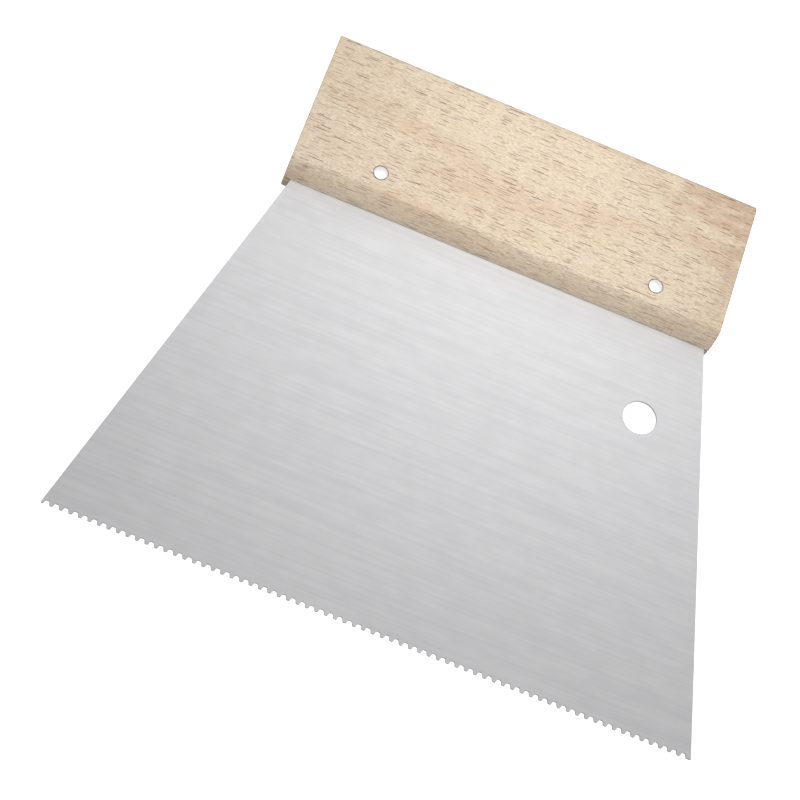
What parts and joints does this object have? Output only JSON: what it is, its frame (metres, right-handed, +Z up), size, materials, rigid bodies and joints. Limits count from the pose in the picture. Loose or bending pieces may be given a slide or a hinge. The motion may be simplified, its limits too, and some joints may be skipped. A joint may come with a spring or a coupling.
{
  "type": "notched trowel",
  "caption": "Wide flat adhesive trowel: fine-toothed steel blade held in the saw kerf of a straight beech handle, with a hanging hole.",
  "frame": {"origin": "on the bench, under the middle of the tool's box, with the tool lying on its teeth and on the rear crease of its handle", "axes": "+X along the toothed edge, +Y from the teeth towards the handle, +Z up, out of the front face"},
  "size_m": [0.2084, 0.1846, 0.0232],
  "materials": {
    "beech": "sanded and unvarnished, with short brown flecks along the grain",
    "spring_steel": "fine brushed, lines along the toothed edge",
    "rivet_metal": "bright, slightly domed heads"
  },
  "bodies": {
    "root": {"handle": "beech", "blade": "spring_steel", "rivet_left": "rivet_metal", "rivet_right": "rivet_metal"}
  },
  "joints": []
}
